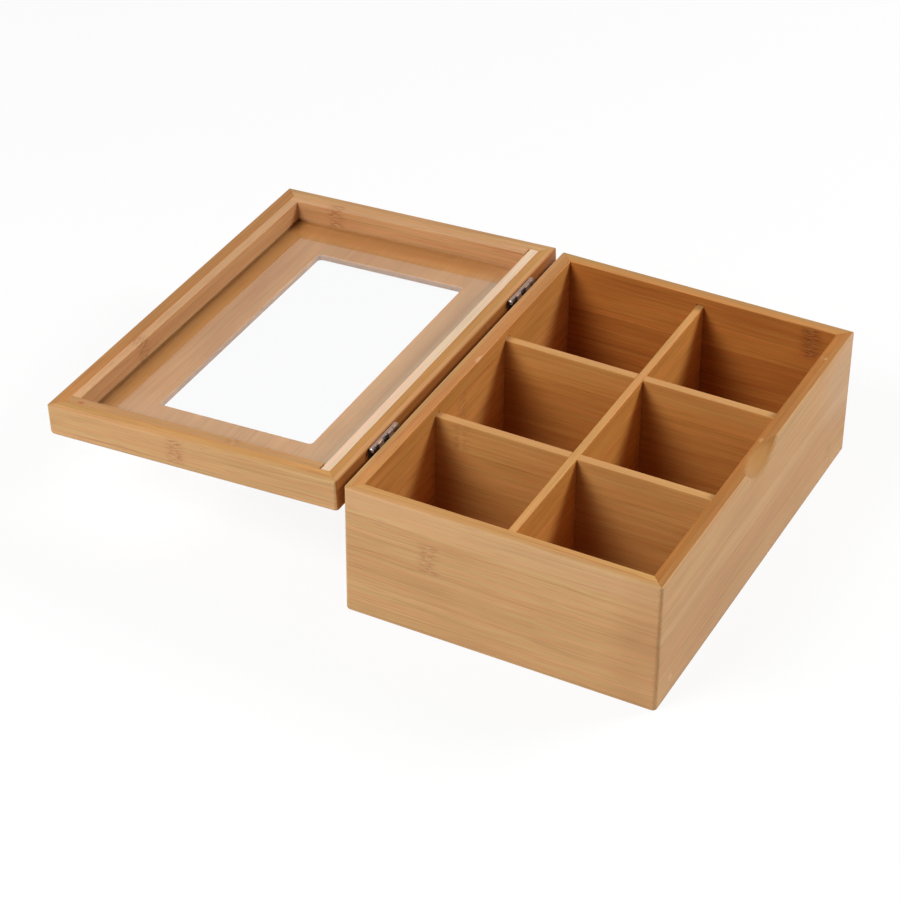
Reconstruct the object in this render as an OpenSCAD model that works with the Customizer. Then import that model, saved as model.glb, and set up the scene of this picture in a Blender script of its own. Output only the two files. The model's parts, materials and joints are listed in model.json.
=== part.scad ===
// Bamboo tea bag box with six compartments and a hinged lid with a clear window.
// The origin is the centre of the underside. +X points to the front wall, which has
// the finger scoop, and -X to the back wall, which has the hinges. +Y points to the
// right end as seen from the front, and +Z up. The lid is drawn folded open.

/* [Box] */
// Outside width, from the back wall to the front wall
box_width = 165; // [150:1:180]
// Outside length, from the left end to the right end
box_length = 240; // [225:1:270]
// Height of the four walls
box_height = 73; // [60:1:90]
// Thickness of the walls and of the lid's rails
wall = 7.5; // [7:0.5:9]
// Rounding of the outer upright corners
corner_round = 2.4; // [1:0.1:3]
// Rounding of the outer edges of the rim, which at the hinges are only sanded
rim_round = 1.25; // [0.8:0.05:1.5]
// Rounding of the outer bottom edges
foot_round = 1.3; // [0.8:0.1:2]
// Rounding of the edges that are only sanded
sanded_round = 0.4; // [0.3:0.1:0.6]

/* [Base panel] */
// Thickness of the base panel
base_t = 4; // [3:0.5:6]
// Width of the rebate that the base panel sits in
base_rebate = 3; // [2:0.5:4]

/* [Dividers] */
// Thickness of the two cross dividers
divider_t = 4.8; // [4:0.1:6]
// Thickness of the long divider
long_divider_t = 4.2; // [4:0.1:6]
// Drop from the rim to the top of the dividers
divider_drop = 5.4; // [3:0.1:12]
// Depth of the housings in the walls that hold the ends of the dividers
housing_depth = 3; // [2:0.5:4]
// Height of the housing that shows above the divider
housing_over = 0.7; // [0.2:0.1:1.5]

/* [Finger scoop] */
// Radius of the scoop
scoop_radius = 43; // [30:1:60]
// Drop of the scoop on the front face, from the rim
scoop_drop = 11; // [6:0.5:14]
// Depth of the scoop on the rim, from the front face
scoop_depth = 5.8; // [3:0.1:6.5]
// Shift of the scoop from the middle of the length
scoop_shift = -3; // [-6:0.5:6]

/* [Lid] */
// Overall height of the lid
lid_height = 17.5; // [16:0.5:22]
// Gap between the rim and the closed lid
lid_gap = 0.3; // [0.2:0.1:0.5]
// Thickness of the lid panel
panel_t = 4; // [3:0.5:5]
// Thickness of the window pane
pane_t = 2; // [1.5:0.5:3]
// Width of the wood between the outside of the lid and the window, at the front
window_margin_front = 40.6; // [25:0.1:50]
// Width of the wood between the outside of the lid and the window, at the back
window_margin_back = 36.6; // [25:0.1:50]
// Width of the wood between the outside of the lid and the window, at the ends
window_margin_ends = 39.2; // [25:0.1:60]
// Rounding of the window's corners
window_round = 2; // [1:0.5:8]
// Width of the strips that hold the pane
strip_w = 5; // [4:0.5:7]
// Rounding of the lid's outer top edges
lid_round = 2.2; // [1.5:0.1:3]
// Angle of the lid as drawn, from closed
lid_open = 183; // [90:1:183]

/* [Hinges] */
// Length of each hinge along its pin
hinge_length = 25; // [24:1:36]
// Distance between the middles of the two hinges
hinge_spacing = 149; // [120:0.5:170]
// Shift of the two hinges from the middle of the length
hinge_shift = -1.5; // [-6:0.5:6]
// Distance of the pin behind the back wall
pin_offset = 1.9; // [1.8:0.05:2.2]
// Height of the pin above the rim
pin_rise = 0.9; // [0.7:0.1:1.1]
// Outer radius of the knuckles
knuckle_r = 1.55; // [1.5:0.05:1.65]
// Radius of the pin
pin_r = 0.75; // [0.6:0.05:0.9]
// Thickness of the leaves
leaf_t = 0.8; // [0.6:0.1:0.9]
// Height of each leaf from the pin to its edge
leaf_h = 11; // [9:0.5:13]

/* [Hidden] */
$fn = 96;

bamboo = "#C08F57";
bamboo_dark = "#A5733F";
bamboo_pale = "#E3C39B";
pane_tint = [0.80, 0.86, 0.84, 0.35];
bronze = "#5A4A44";

// Small overlap that lets a cut pass clean through a surface
cut = 1;

inner_width = box_width - 2 * wall;
inner_length = box_length - 2 * wall;

divider_top = box_height - divider_drop;
divider_h = divider_top - base_t;
cross_y = (inner_length - 2 * divider_t) / 6 + divider_t / 2;
lap_play = 0.1;
lap_z = base_t + divider_h / 2;

// Heights in the closed lid, from the plane that meets the rim
lid_z = box_height + lid_gap;
strip_h = lid_height - panel_t - pane_t;
pane_play = 0.5;
strip_rebate_w = 0.8;
strip_rebate_h = 1.5;
strip_end_gap = 0.8;

pin_x = -box_width / 2 - pin_offset;
pin_z = box_height + pin_rise;
hinge_y = [hinge_shift - hinge_spacing / 2, hinge_shift + hinge_spacing / 2];
knuckles = 5;
knuckle_gap = 0.2;
knuckle_pitch = hinge_length / knuckles;
knuckle_clearance = 0.3;
pin_play = 0.05;
pin_head_r = 1.3;
pin_head_h = 0.7;
pin_end = 0.4;
// How near to the pin's height the flat of a leaf comes
leaf_start = 0.8;
leaf_corner = 1;

screw_spacing = 16;
screw_drop = 6.8;
screw_r = 0.9;
screw_play = 0.05;
screw_length = 6;
screw_head_r = 1.7;
screw_crown = 0.35;
screw_slot_w = 0.4;
screw_slot_d = 0.45;

// Square corner with its inside rounded off, used to take an edge off a section
module corner_waste(r) {
    difference() {
        translate([-cut, -cut])
            square(r + cut);
        translate([r, r])
            circle(r);
    }
}

// Cross-section of a wall or rail: the outside is at x = 0 and z runs along y
module board_section(w, h, low, high) {
    difference() {
        square([w, h]);
        corner_waste(low);
        translate([0, h])
            mirror([0, 1])
                corner_waste(high);
        translate([w, h])
            rotate(180)
                corner_waste(sanded_round);
        translate([w, 0])
            mirror([1, 0])
                corner_waste(sanded_round);
    }
}

// Outline of the box and lid from above, with rounded corners
module outline() {
    x = box_width / 2;
    y = box_length / 2;
    difference() {
        square([box_width, box_length], center = true);
        for (sx = [-1, 1], sy = [-1, 1])
            scale([sx, sy])
                translate([-x, -y])
                    corner_waste(corner_round);
    }
}

// One of four boards with mitred ends that make a frame.
// turn is 0 for the left, 90 for the front, 180 for the right and 270 for the back.
module frame_board(turn, h, low, high) {
    endwise = turn % 180 == 0;
    run = endwise ? box_width : box_length;
    out = endwise ? box_length / 2 : box_width / 2;
    intersection() {
        rotate([0, 0, turn])
            translate([0, -out, 0])
                intersection() {
                    rotate([90, 0, 90])
                        linear_extrude(run, center = true)
                            board_section(wall, h, low, high);
                    linear_extrude(h)
                        polygon([
                            [-run / 2, 0], [run / 2, 0],
                            [run / 2 - wall, wall], [wall - run / 2, wall]
                        ]);
                }
        linear_extrude(h)
            outline();
    }
}

// Room for the base panel, cut into all four walls
module base_seat() {
    translate([0, 0, base_t / 2 - cut / 2])
        cube([
            inner_width + 2 * base_rebate,
            inner_length + 2 * base_rebate,
            base_t + cut
        ], center = true);
}

// Housings for the ends of the two cross dividers, which run through to both walls
module cross_housings() {
    top = divider_top + housing_over;
    for (y = [-cross_y, cross_y])
        translate([0, y, top / 2])
            cube([inner_width + 2 * housing_depth, divider_t + 2 * lap_play, top], center = true);
}

// Housing for the ends of the long divider
module long_housing() {
    top = divider_top + housing_over;
    translate([0, 0, top / 2])
        cube([long_divider_t + 2 * lap_play, inner_length + 2 * housing_depth, top], center = true);
}

// Slanted round cut in the front wall for a finger
module finger_scoop() {
    tilt = atan(scoop_depth / scoop_drop);
    translate([box_width / 2, scoop_shift, box_height - scoop_drop])
        rotate([0, -tilt, 0])
            translate([scoop_radius, 0, 0])
                cylinder(r = scoop_radius, h = 3 * box_height, center = true);
}

module wall_board(turn, rim = rim_round) {
    frame_board(turn, box_height, foot_round, rim);
}

module front_wall() {
    color(bamboo)
        difference() {
            wall_board(90);
            base_seat();
            cross_housings();
            finger_scoop();
        }
}

module back_wall() {
    color(bamboo_dark)
        difference() {
            wall_board(270, sanded_round);
            base_seat();
            cross_housings();
            for (y = hinge_y)
                at_hinge(y)
                    screw_holes();
        }
}

module left_end_wall() {
    color(bamboo)
        difference() {
            wall_board(0);
            base_seat();
            long_housing();
        }
}

module right_end_wall() {
    color(bamboo_dark)
        difference() {
            wall_board(180);
            base_seat();
            long_housing();
        }
}

module base_panel() {
    color(bamboo_dark)
        translate([0, 0, base_t / 2])
            cube([
                inner_width + 2 * base_rebate,
                inner_length + 2 * base_rebate,
                base_t
            ], center = true);
}

// Divider of thickness t that stands on the base panel and runs along X, centred on the origin
module divider_board(run, t) {
    translate([0, 0, base_t])
        rotate([90, 0, 90])
            linear_extrude(run, center = true)
                difference() {
                    translate([-t / 2, 0])
                        square([t, divider_h]);
                    for (side = [-1, 1])
                        scale([side, 1])
                            translate([t / 2, divider_h])
                                rotate(180)
                                    corner_waste(sanded_round);
                }
}

// The long divider passes over the cross dividers, so it is slotted from below
module long_divider() {
    color(bamboo)
        difference() {
            rotate([0, 0, 90])
                divider_board(inner_length + 2 * housing_depth, long_divider_t);
            for (y = [-cross_y, cross_y])
                translate([0, y, lap_z / 2])
                    cube([2 * long_divider_t, divider_t + 2 * lap_play, lap_z], center = true);
        }
}

module cross_divider(y) {
    color(bamboo_dark)
        translate([0, y, 0])
            difference() {
                divider_board(inner_width + 2 * housing_depth, divider_t);
                translate([0, 0, lap_z + box_height / 2])
                    cube([long_divider_t + 2 * lap_play, 2 * divider_t, box_height], center = true);
            }
}

module left_cross_divider() {
    cross_divider(-cross_y);
}

module right_cross_divider() {
    cross_divider(cross_y);
}

// Turns a piece of the closed lid about the hinge pins to where the lid lies open
module opened() {
    translate([pin_x, 0, pin_z])
        rotate([0, -lid_open, 0])
            translate([-pin_x, 0, -pin_z])
                children();
}

module rail_board(turn, rim = rim_round) {
    translate([0, 0, lid_z])
        frame_board(turn, lid_height, rim, lid_round);
}

module lid_front_rail() {
    color(bamboo)
        opened()
            rail_board(90);
}

module lid_back_rail() {
    color(bamboo)
        opened()
            difference() {
                rail_board(270, sanded_round);
                for (y = hinge_y)
                    at_hinge(y)
                        mirror([0, 0, 1])
                            screw_holes();
            }
}

module lid_left_rail() {
    color(bamboo)
        opened()
            rail_board(0);
}

module lid_right_rail() {
    color(bamboo)
        opened()
            rail_board(180);
}

// Hole through the panel, with round corners
module window_hole() {
    half_x = (box_width - window_margin_front - window_margin_back) / 2;
    half_y = box_length / 2 - window_margin_ends;
    round_x = half_x - window_round;
    round_y = half_y - window_round;
    translate([(window_margin_back - window_margin_front) / 2, 0, -cut])
        linear_extrude(panel_t + 2 * cut) {
            square([2 * half_x, 2 * round_y], center = true);
            square([2 * round_x, 2 * half_y], center = true);
            for (x = [-round_x, round_x], y = [-round_y, round_y])
                translate([x, y])
                    circle(window_round);
        }
}

module lid_panel() {
    color(bamboo)
        opened()
            translate([0, 0, lid_z + strip_h + pane_t])
                difference() {
                    translate([0, 0, panel_t / 2])
                        cube([inner_width, inner_length, panel_t], center = true);
                    window_hole();
                }
}

module window_pane() {
    color(pane_tint)
        opened()
            translate([0, 0, lid_z + strip_h + pane_t / 2])
                cube([
                    inner_width - 2 * pane_play,
                    inner_length - 2 * pane_play,
                    pane_t
                ], center = true);
}

// Strip that runs along Y, with its outside at x = 0 and its rebate towards the pane
module strip(run) {
    rotate([90, 0, 0])
        linear_extrude(run, center = true)
            difference() {
                square([strip_w, strip_h]);
                translate([strip_w - strip_rebate_w, strip_h - strip_rebate_h])
                    square([strip_rebate_w + cut, strip_rebate_h + cut]);
                translate([strip_w, 0])
                    mirror([1, 0])
                        corner_waste(sanded_round);
            }
}

module long_strip(side, run) {
    opened()
        translate([side * inner_width / 2, 0, lid_z])
            scale([-side, 1, 1])
                strip(run);
}

// The end strips reach from the front rail to just short of the back strip
module end_strip(side) {
    run = inner_width - strip_w - strip_end_gap;
    opened()
        translate([inner_width / 2 - run / 2, side * inner_length / 2, lid_z])
            rotate([0, 0, -90 * side])
                strip(run);
}

module front_pane_strip() {
    color(bamboo)
        long_strip(1, inner_length - 2 * strip_w);
}

module back_pane_strip() {
    color(bamboo_pale)
        long_strip(-1, inner_length);
}

module left_pane_strip() {
    color(bamboo)
        end_strip(-1);
}

module right_pane_strip() {
    color(bamboo)
        end_strip(1);
}

// Moves a hinge drawn about its own middle to its place on the pin line
module at_hinge(y) {
    translate([pin_x, y, pin_z])
        children();
}

// Along the pin, from the left end of the hinge
function knuckle_start(i) = -hinge_length / 2 + i * knuckle_pitch;

// Leaf with the knuckles of one parity: 1 for the box, 0 for the lid.
// It hangs down from the pin and lies on the wood at x = pin_offset.
module leaf(parity) {
    plate_x = pin_offset - leaf_t;
    difference() {
        union() {
            leaf_plate(plate_x);
            for (i = [parity:2:knuckles - 1])
                knuckle(i, plate_x);
        }
        for (i = [1 - parity:2:knuckles - 1])
            knuckle_slot(i);
        rotate([90, 0, 0])
            cylinder(r = pin_r + pin_play, h = 2 * hinge_length, center = true);
        for (y = [-screw_spacing / 2, screw_spacing / 2])
            at_screw(y)
                leaf_hole();
    }
}

module leaf_plate(plate_x) {
    translate([plate_x, 0, 0])
        rotate([90, 0, 90])
            linear_extrude(leaf_t)
                difference() {
                    translate([-hinge_length / 2, -leaf_h])
                        square([hinge_length, leaf_h - leaf_start]);
                    for (side = [-1, 1])
                        scale([side, 1])
                            translate([-hinge_length / 2, -leaf_h])
                                corner_waste(leaf_corner);
                }
}

// Rolled end of a leaf round the pin, with the tongue that joins it to the plate
module knuckle(i, plate_x) {
    start = knuckle_start(i) + knuckle_gap / 2;
    run = knuckle_pitch - knuckle_gap;
    translate([0, start + run, 0])
        rotate([90, 0, 0])
            cylinder(r = knuckle_r, h = run);
    translate([plate_x, start, -knuckle_r])
        cube([knuckle_r - plate_x, run, knuckle_r]);
}

// Room in a leaf for a knuckle of the other leaf
module knuckle_slot(i) {
    deep = knuckle_r + knuckle_clearance;
    translate([-deep, knuckle_start(i) - knuckle_gap / 2, -deep])
        cube([deep + pin_offset + cut, knuckle_pitch + knuckle_gap, 2 * deep]);
}

// Puts a screw or its hole, drawn pointing into the wood along +X, on a leaf
module at_screw(y) {
    translate([pin_offset - leaf_t, y, -screw_drop])
        rotate([0, 90, 0])
            children();
}

// Countersunk hole through a leaf
module leaf_hole() {
    translate([0, 0, -cut])
        cylinder(r = screw_r + screw_play, h = leaf_t + 2 * cut);
    cylinder(r1 = screw_head_r, r2 = screw_r + screw_play, h = leaf_t);
}

// Holes in the wood behind a leaf for its two screws
module screw_holes() {
    for (y = [-screw_spacing / 2, screw_spacing / 2])
        at_screw(y)
            cylinder(r = screw_r + screw_play, h = screw_length + screw_play);
}

// Countersunk screw with a slightly crowned head and a cross slot
module screw() {
    crown_r = (screw_head_r * screw_head_r + screw_crown * screw_crown) / (2 * screw_crown);
    difference() {
        union() {
            cylinder(r = screw_r, h = screw_length);
            cylinder(r1 = screw_head_r, r2 = screw_r, h = leaf_t);
            intersection() {
                translate([0, 0, crown_r - screw_crown])
                    sphere(crown_r);
                translate([0, 0, -2 * screw_crown])
                    cylinder(r = screw_head_r, h = 2 * screw_crown);
            }
        }
        for (a = [0, 90])
            rotate([0, 0, a])
                cube([screw_head_r * 1.3, screw_slot_w, 2 * screw_slot_d], center = true);
    }
}

module screw_pair() {
    for (y = [-screw_spacing / 2, screw_spacing / 2])
        at_screw(y)
            rotate([0, 0, y > 0 ? 25 : 65])
                screw();
}

// Pin with a round head at the left end and a plain end at the right
module pin() {
    color("#8C8078") {
        translate([0, hinge_length / 2 + pin_end, 0])
            rotate([90, 0, 0])
                cylinder(r = pin_r, h = hinge_length + pin_end);
        translate([0, -hinge_length / 2 + knuckle_gap / 2, 0])
            rotate([90, 0, 0])
                rotate_extrude()
                    intersection() {
                        square([pin_head_r, pin_head_h]);
                        translate([0, pin_head_h - 2 * pin_head_r])
                            circle(2 * pin_head_r);
                    }
    }
}

module box_leaf(y) {
    color(bronze)
        at_hinge(y)
            leaf(1);
}

module lid_leaf(y) {
    color(bronze)
        opened()
            at_hinge(y)
                mirror([0, 0, 1])
                    leaf(0);
}

module box_screws(y) {
    color(bronze)
        at_hinge(y)
            screw_pair();
}

module lid_screws(y) {
    color(bronze)
        opened()
            at_hinge(y)
                mirror([0, 0, 1])
                    screw_pair();
}

module left_hinge_box_leaf() {
    box_leaf(hinge_y[0]);
}

module left_hinge_lid_leaf() {
    lid_leaf(hinge_y[0]);
}

module left_hinge_pin() {
    at_hinge(hinge_y[0])
        pin();
}

module left_hinge_box_screws() {
    box_screws(hinge_y[0]);
}

module left_hinge_lid_screws() {
    lid_screws(hinge_y[0]);
}

module right_hinge_box_leaf() {
    box_leaf(hinge_y[1]);
}

module right_hinge_lid_leaf() {
    lid_leaf(hinge_y[1]);
}

module right_hinge_pin() {
    at_hinge(hinge_y[1])
        pin();
}

module right_hinge_box_screws() {
    box_screws(hinge_y[1]);
}

module right_hinge_lid_screws() {
    lid_screws(hinge_y[1]);
}

front_wall();
back_wall();
left_end_wall();
right_end_wall();
base_panel();
long_divider();
left_cross_divider();
right_cross_divider();
lid_front_rail();
lid_back_rail();
lid_left_rail();
lid_right_rail();
lid_panel();
window_pane();
front_pane_strip();
back_pane_strip();
left_pane_strip();
right_pane_strip();
left_hinge_box_leaf();
left_hinge_lid_leaf();
left_hinge_pin();
left_hinge_box_screws();
left_hinge_lid_screws();
right_hinge_box_leaf();
right_hinge_lid_leaf();
right_hinge_pin();
right_hinge_box_screws();
right_hinge_lid_screws();
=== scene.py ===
import json
import math

import bmesh
import bpy
from mathutils import Matrix, Vector


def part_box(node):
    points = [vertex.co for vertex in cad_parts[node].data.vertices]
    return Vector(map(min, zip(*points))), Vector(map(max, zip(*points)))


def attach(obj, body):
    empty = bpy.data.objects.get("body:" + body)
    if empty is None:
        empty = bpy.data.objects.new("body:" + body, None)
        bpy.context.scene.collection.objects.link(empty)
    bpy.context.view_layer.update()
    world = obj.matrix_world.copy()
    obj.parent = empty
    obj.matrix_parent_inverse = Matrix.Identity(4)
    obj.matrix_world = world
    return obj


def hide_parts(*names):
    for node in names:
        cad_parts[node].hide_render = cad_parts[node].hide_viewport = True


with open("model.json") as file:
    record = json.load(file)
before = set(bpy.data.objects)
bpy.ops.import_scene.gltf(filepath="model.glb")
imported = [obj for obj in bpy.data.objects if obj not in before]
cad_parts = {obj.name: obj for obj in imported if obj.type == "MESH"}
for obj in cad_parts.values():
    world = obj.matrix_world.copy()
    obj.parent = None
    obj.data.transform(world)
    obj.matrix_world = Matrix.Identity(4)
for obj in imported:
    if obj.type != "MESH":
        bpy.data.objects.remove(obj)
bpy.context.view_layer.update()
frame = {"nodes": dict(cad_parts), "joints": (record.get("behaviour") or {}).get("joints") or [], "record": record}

# Sizes in metres. Those of the box come from the frame.
MM = 0.001
front_low, front_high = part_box("front_wall")
WIDTH = 2 * front_high.x
LENGTH = 2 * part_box("right_end_wall")[1].y
HEIGHT = front_high.z
WALL = front_high.x - front_low.x
INNER_WIDTH = WIDTH - 2 * WALL
INNER_LENGTH = LENGTH - 2 * WALL

# Rounding of the outer upright corners, the foot, the rims, the top of the lid, and the edges that
# are only sanded
CORNER_ROUND = 2.4 * MM
FOOT_ROUND = 1.3 * MM
RIM_ROUND = 1.25 * MM
LID_ROUND = 2.2 * MM
SANDED = 0.4 * MM
# Glued joints are drawn open by this much on each side, so that each shows as a fine line
JOINT_LINE = 0.04 * MM

BASE_LOW, BASE_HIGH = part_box("base_panel")
LONG_LOW, LONG_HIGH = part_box("long_divider")
CROSS_LOW, CROSS_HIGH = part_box("right_cross_divider")
DIVIDER_TOP = LONG_HIGH.z
LONG_T = LONG_HIGH.x - LONG_LOW.x
CROSS_T = CROSS_HIGH.y - CROSS_LOW.y
CROSS_Y = (CROSS_LOW.y + CROSS_HIGH.y) / 2
HOUSING_OVER = 0.7 * MM
LAP_PLAY = 0.1 * MM
LAP_Z = (BASE_HIGH.z + DIVIDER_TOP) / 2

SCOOP_RADIUS = 43 * MM
SCOOP_DROP = 11 * MM
SCOOP_DEPTH = 5.8 * MM
SCOOP_Y = -3 * MM

# The lid, measured as it lies closed
LID_Z = HEIGHT + 0.3 * MM
LID_HEIGHT = 17.5 * MM
PANEL_T = 4 * MM
PANE_T = 2 * MM
WINDOW_LOW = Vector((-45.9, -80.8)) * MM
WINDOW_HIGH = Vector((41.9, 80.8)) * MM
WINDOW_ROUND = 2 * MM
WINDOW_ROLL = 1.4 * MM
STRIP_W = 5 * MM
STRIP_H = LID_HEIGHT - PANEL_T - PANE_T
STRIP_REBATE_W = 0.8 * MM
STRIP_REBATE_H = 1.5 * MM
STRIP_END_GAP = 0.8 * MM

# The hinges, measured from the middle of the pin
KNUCKLES = 5
HINGE_LENGTH = 25 * MM
KNUCKLE_PITCH = HINGE_LENGTH / KNUCKLES
KNUCKLE_GAP = 0.2 * MM
KNUCKLE_R = 1.55 * MM
BORE_R = 0.8 * MM
ROOM_R = 1.85 * MM
LEAF_NEAR = 1.1 * MM
LEAF_FAR = 1.9 * MM
LEAF_START = 0.8 * MM
LEAF_DROP = 11 * MM
LEAF_CORNER = 1 * MM
LEAF_SOFT = 0.15 * MM
SCREW_SPREAD = 8 * MM
SCREW_DROP = 6.8 * MM
SCREW_HEAD_R = 1.7 * MM
SCREW_HOLE_R = 0.95 * MM
SCREW_SHANK_R = 0.9 * MM
SCREW_LENGTH = 6 * MM
SCREW_SLOT_LONG = 1.1 * MM
SCREW_SLOT_WIDE = 0.2 * MM
SCREW_SLOT_DEEP = 0.45 * MM
PIN_R = 0.75 * MM
PIN_HEAD_R = 1.3 * MM
TURN_STEPS = 48

LID_NODES = frame["record"]["behaviour"]["bodies"]["lid"]
hinge = frame["joints"][0]
PIN = Vector(hinge["pos_m"])
LID_OPEN = math.radians(hinge["range_deg"][1])
LID_TURN = (
    Matrix.Translation(PIN)
    @ Matrix.Rotation(-LID_OPEN, 4, "Y")
    @ Matrix.Translation(-PIN)
)
STILL = Matrix.Identity(4)

X = Vector((1, 0, 0))
Y = Vector((0, 1, 0))
Z = Vector((0, 0, 1))


def even(*tone):
    """The same tone for both of a pair."""
    return (tone, tone)


def srgb(red, green, blue):
    """A colour given as it shows on a screen, 0 to 255, as the linear colour that a node holds."""
    def linear(part):
        part /= 255
        return part / 12.92 if part < 0.04045 else ((part + 0.055) / 1.055) ** 2.4

    return (linear(red), linear(green), linear(blue), 1)


class Graph:
    """A material's nodes. Each method adds a node and gives back the socket that it puts out."""

    def __init__(self, name):
        self.material = bpy.data.materials.new(name)
        self.material.use_nodes = True
        self.tree = self.material.node_tree
        self.shader = self.tree.nodes["Principled BSDF"]
        self.output = self.tree.nodes["Material Output"]

    def add(self, kind, **settings):
        node = self.tree.nodes.new(kind)
        for name, value in settings.items():
            setattr(node, name, value)
        return node

    def feed(self, socket, source):
        """Links a socket to its source, or sets it to a plain number or colour."""
        if isinstance(source, bpy.types.NodeSocket):
            self.tree.links.new(source, socket)
        else:
            socket.default_value = source

    def math(self, operation, first, second=0.0, third=0.0, clamp=False):
        node = self.add("ShaderNodeMath", operation=operation, use_clamp=clamp)
        for socket, source in zip(node.inputs, (first, second, third)):
            self.feed(socket, source)
        return node.outputs[0]

    def vector(self, operation, first, second):
        node = self.add("ShaderNodeVectorMath", operation=operation)
        self.feed(node.inputs[0], first)
        self.feed(node.inputs[1], second)
        return node.outputs[0]

    def combine(self, x, y, z):
        node = self.add("ShaderNodeCombineXYZ")
        for socket, source in zip(node.inputs, (x, y, z)):
            self.feed(socket, source)
        return node.outputs[0]

    def separate(self, vector):
        node = self.add("ShaderNodeSeparateXYZ")
        self.feed(node.inputs[0], vector)
        return node.outputs

    def mix(self, factor, first, second, blend="MIX"):
        node = self.add("ShaderNodeMix", data_type="RGBA", blend_type=blend)
        self.feed(node.inputs["Factor"], factor)
        self.feed(node.inputs[6], first)
        self.feed(node.inputs[7], second)
        return node.outputs[2]

    def noise(self, vector, detail=2.0, roughness=0.5):
        node = self.add("ShaderNodeTexNoise")
        self.feed(node.inputs["Vector"], vector)
        self.feed(node.inputs["Scale"], 1.0)
        self.feed(node.inputs["Detail"], detail)
        self.feed(node.inputs["Roughness"], roughness)
        return node.outputs[0]

    def random(self, vector):
        node = self.add("ShaderNodeTexWhiteNoise", noise_dimensions="3D")
        self.feed(node.inputs["Vector"], vector)
        return node.outputs[0]

    def smooth(self, value, low, high, start=0.0, end=1.0):
        """Goes smoothly from start to end as the value goes from low to high."""
        node = self.add("ShaderNodeMapRange", interpolation_type="SMOOTHSTEP")
        for socket, source in zip(node.inputs, (value, low, high, start, end)):
            self.feed(socket, source)
        return node.outputs[0]

    def bump(self, height, depth):
        """Raises the surface by up to depth, in metres, where height is 1."""
        node = self.add("ShaderNodeBump")
        self.feed(node.inputs["Strength"], 1.0)
        self.feed(node.inputs["Distance"], depth)
        self.feed(node.inputs["Height"], height)
        self.feed(self.shader.inputs["Normal"], node.outputs[0])

    def object_place(self):
        return self.add("ShaderNodeTexCoord").outputs["Object"]


# Tones of lacquered bamboo as they show on a screen, in pairs. A face is side grain, from pale to
# deep. An edge has one tone for a board's outer layer and one for its inner layer.
FACE = ((208, 163, 114), (185, 139, 92))
WALL_FACES = {"front": ((205, 157, 105), (183, 135, 84))}
# The back rail's outer face is darker and redder: painted shade of the gap at the hinges
RAIL_PAINTED_SHADE_FACES = {"back": ((178, 112, 54), (150, 88, 36))}
INSIDE = ((213, 149, 81), (178, 114, 53))
# The back wall's inside is lighter, as painted light, and the right end wall's inside darker, as painted shade
WALL_INSIDES_LIGHT_AND_SHADE = {
    "back": ((226, 161, 89), (189, 123, 58)),
    "right": ((196, 125, 59), (159, 91, 36)),
}
# The long divider's faces are lighter than the other insides: painted light
LONG_FACE_PAINTED_LIGHT = ((229, 161, 84), (193, 125, 56))
CROSS_FACES = {
    "left": ((209, 154, 91), (176, 119, 61)),
    "right": ((207, 143, 76), (174, 111, 50)),
}
WALL_EDGES = {
    "front": ((170, 113, 59), (176, 113, 53)),
    "back": ((186, 135, 83), (186, 127, 74)),
    "left": ((190, 143, 90), (193, 144, 86)),
    "right": ((179, 133, 80), (191, 132, 73)),
}
RAIL_EDGES = {
    "front": ((177, 123, 72), (182, 125, 72)),
    "back": ((196, 143, 92), (184, 130, 73)),
    "left": ((197, 149, 96), (196, 146, 87)),
    "right": ((188, 143, 95), (197, 150, 102)),
}
LONG_EDGE = even(199, 145, 88)
CROSS_EDGE = even(190, 138, 86)
PANEL_FACE = ((176, 133, 88), (152, 109, 66))
PANEL_EDGE = even(150, 112, 84)
STRIP_FACE = ((212, 160, 112), (186, 130, 84))
STRIP_EDGES = {
    "front": even(200, 153, 112),
    "back": even(227, 195, 166),
    "left": even(186, 138, 91),
    "right": even(202, 152, 109),
}
PALE_FACE = ((232, 203, 170), (222, 189, 152))
# Tones of marks on the wood, and of painted light, shade and reflection
# Dark tone of the fibres, also used for painted shade
FIBRE_AND_SHADE_DARK = srgb(132, 72, 34)
GLUE_DARK = srgb(134, 84, 42)
JOINT_PALE = srgb(226, 184, 138)
JOINT_DARK = srgb(142, 78, 36)
FILLER = srgb(168, 84, 52)
# Tone of end grain, deepened by painted shade
END_GRAIN_AND_SHADE = srgb(96, 76, 58)
# Pale tone of painted reflection in the pane
PAINTED_REFLECTION = srgb(206, 186, 158)
# Deeper tone painted where the pane reflects a strip instead of the pale surroundings
GOLDEN = srgb(154, 100, 31)
# Warm tone of painted light
PAINTED_WARM_LIGHT = srgb(200, 139, 78)
# Tone of a spot in the finger scoop
SCOOP_TONE = srgb(194, 140, 70)
# Pale tone of painted light along the dividers' tops
PAINTED_LIGHT_TOP = srgb(232, 180, 112)
PALE_BAND = srgb(222, 183, 140)
PINK_BAND = srgb(180, 110, 80)
GREY_BAND = srgb(200, 175, 155)
BROWN_BAND = srgb(150, 90, 50)
# Shifts of a tone between yellower and redder cane
YELLOWER = (0.97, 1.03, 0.98, 1)
REDDER = (1.02, 0.97, 0.955, 1)
# How many times a millimetre each pattern of the grain varies: along, across and inwards
WAVES = (0.018, 0.07, 0.07)
FINE_FIBRES = (0.030, 1.9, 1.9)
BROAD_FIBRES = (0.011, 0.33, 0.33)
CLOUDS = (0.014, 0.045, 0.045)
DASHES = (0.045, 2.1, 2.1)
STREAKS = (0.009, 0.95, 0.95)
WARMTH = (0.012, 0.42, 0.42)
JOINT_DRIFT = (0.0, 0.22, 0.22)
JOINT_SPECKS = (0.26, 1.25, 1.25)
# How strongly dark dashes, dark streaks and glue lines show
DASH_STRENGTH = 0.24
STREAK_STRENGTH = 0.26
GLUE_STRENGTH = 0.34
WOOD_RELIEF = 0.03 * MM
METAL_RELIEF = 0.02 * MM
# The layer of a board that a mark is on
OUTER, INNER = 0, 1
# Where the outer layer of a thin board ends, in millimetres: past its back
ONE_LAYER = 9


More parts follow.
